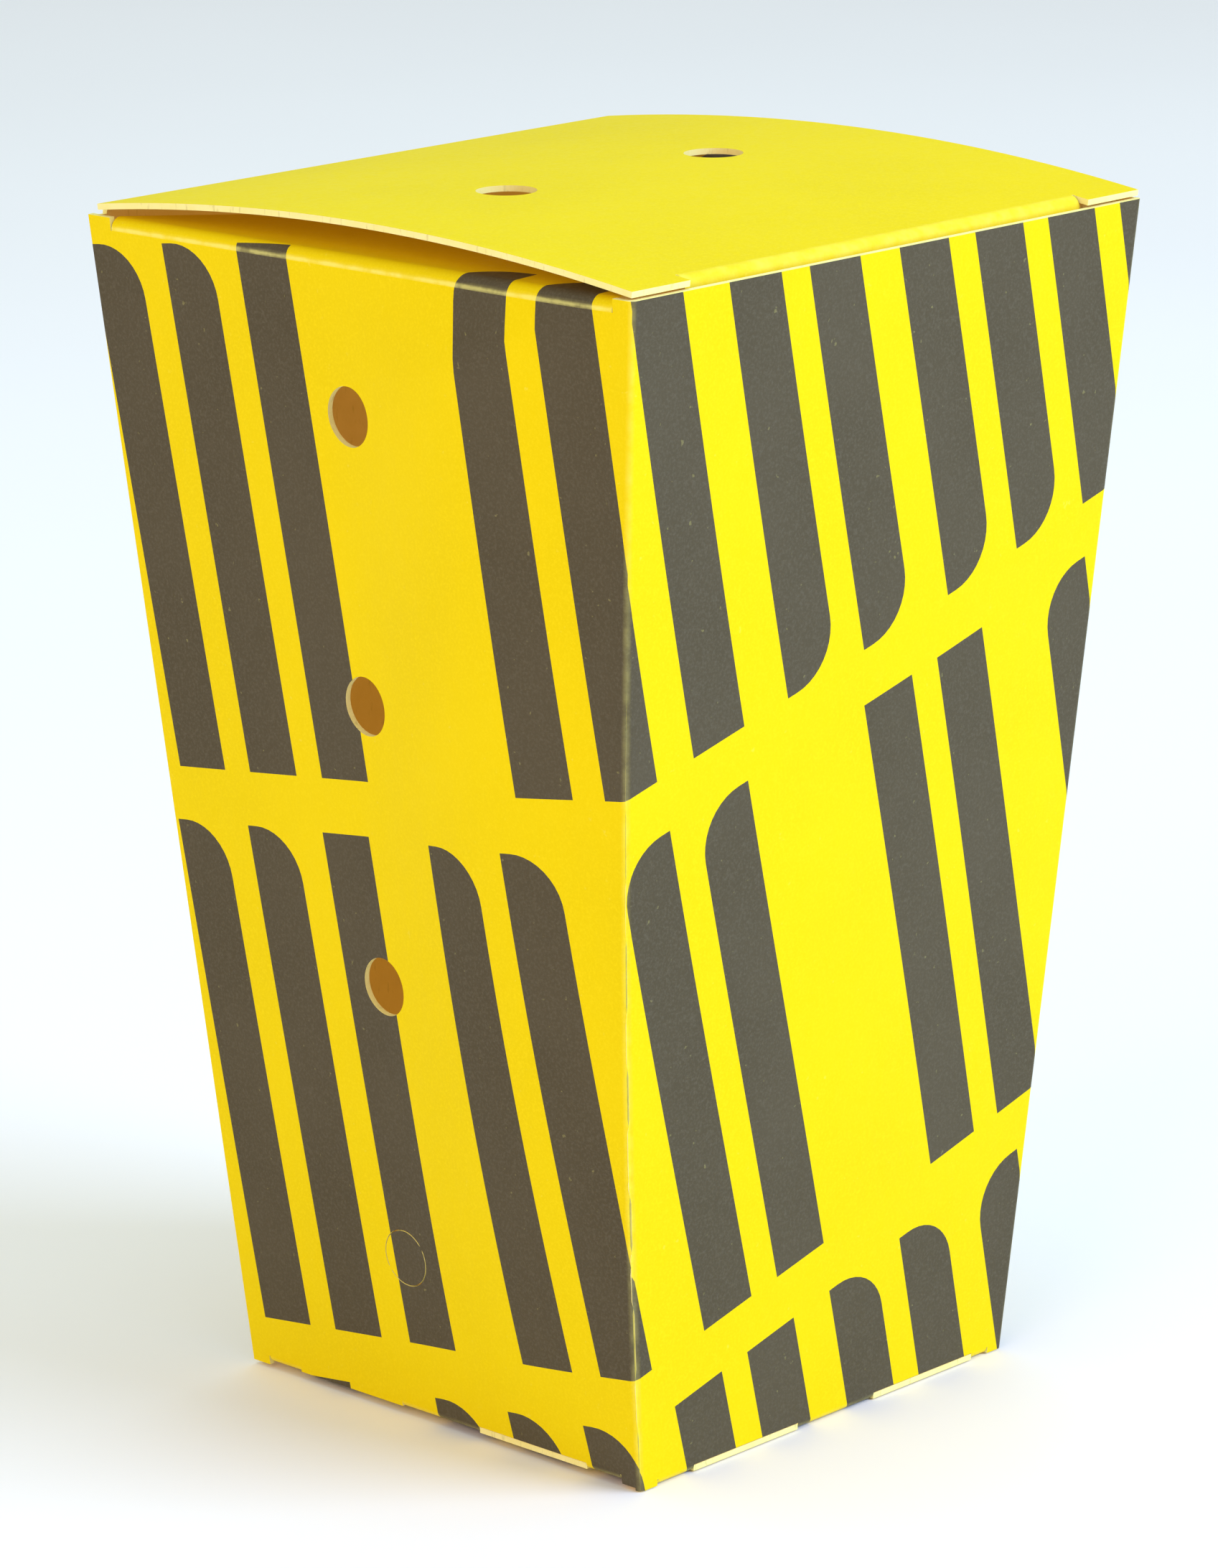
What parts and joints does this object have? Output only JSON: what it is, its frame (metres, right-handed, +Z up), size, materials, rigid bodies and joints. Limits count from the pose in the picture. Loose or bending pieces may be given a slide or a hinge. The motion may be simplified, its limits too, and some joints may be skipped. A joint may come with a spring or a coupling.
{
  "type": "folding carton",
  "caption": "Tapered square folding carton in printed board, with a bowed slit-lock tuck lid, two round holes in the lid, a column of punched holes in one wall and a snap-lock bottom.",
  "frame": {"origin": "middle of the bottom, on the surface the carton stands on", "axes": "+Z up; the front wall with the tucked flap faces -Y; the wall with the column of holes faces -X; the lid's hinge is along X at the top of the back wall (+Y)"},
  "size_m": [0.098, 0.098, 0.1646],
  "materials": {
    "print": "semi-matt offset print on board",
    "print_light": "semi-matt offset print on board",
    "raw_board": "uncoated board"
  },
  "bodies": {
    "carton": {"wall_front": "print", "wall_right": "print", "wall_back": "print", "wall_left": "print", "corner_front_left": "print", "corner_front_right": "print", "corner_back_right": "print", "seam_fold": "raw_board", "glue_flap": "raw_board", "slug": "print", "base_fold_front": "print", "base_tongue_flap": "raw_board", "base_fold_back": "print", "base_slot_flap": "raw_board", "base_fold_left": "print", "base_side_flap_left": "raw_board", "base_fold_right": "print", "base_side_flap_right": "raw_board"},
    "lid": {"lid": "print_light", "lid_hinge_fold": "print_light"},
    "tuck": {"tuck_flap": "print_light", "tuck_fold": "print_light"},
    "dust_left": {"dust_flap_left": "print", "dust_fold_left": "print"},
    "dust_right": {"dust_flap_right": "print", "dust_fold_right": "print"}
  },
  "joints": [
    {"name": "lid_hinge", "type": "hinge", "parent": "carton", "child": "lid", "pos_m": [0, 0.0491, 0.16129], "axis": [-1, 0, 0], "range_deg": [0, 150], "deforming": ["lid_hinge_fold"]},
    {"name": "tuck_hinge", "type": "hinge", "parent": "lid", "child": "tuck", "pos_m": [0, -0.0475, 0.16129], "axis": [-1, 0, 0], "range_deg": [0, 30], "deforming": ["tuck_fold"]},
    {"name": "dust_hinge_left", "type": "hinge", "parent": "carton", "child": "dust_left", "pos_m": [-0.049, 0, 0.16], "axis": [0, -1, 0], "range_deg": [0, 105], "deforming": ["dust_fold_left"]},
    {"name": "dust_hinge_right", "type": "hinge", "parent": "carton", "child": "dust_right", "pos_m": [0.049, 0, 0.16], "axis": [0, 1, 0], "range_deg": [0, 105], "deforming": ["dust_fold_right"]}
  ],
  "couplings": [
    {"joint": "tuck_hinge", "follows": "lid_hinge", "ratio": 0.2},
    {"joint": "dust_hinge_left", "follows": "lid_hinge", "ratio": 0.7},
    {"joint": "dust_hinge_right", "follows": "lid_hinge", "ratio": 0.7}
  ]
}
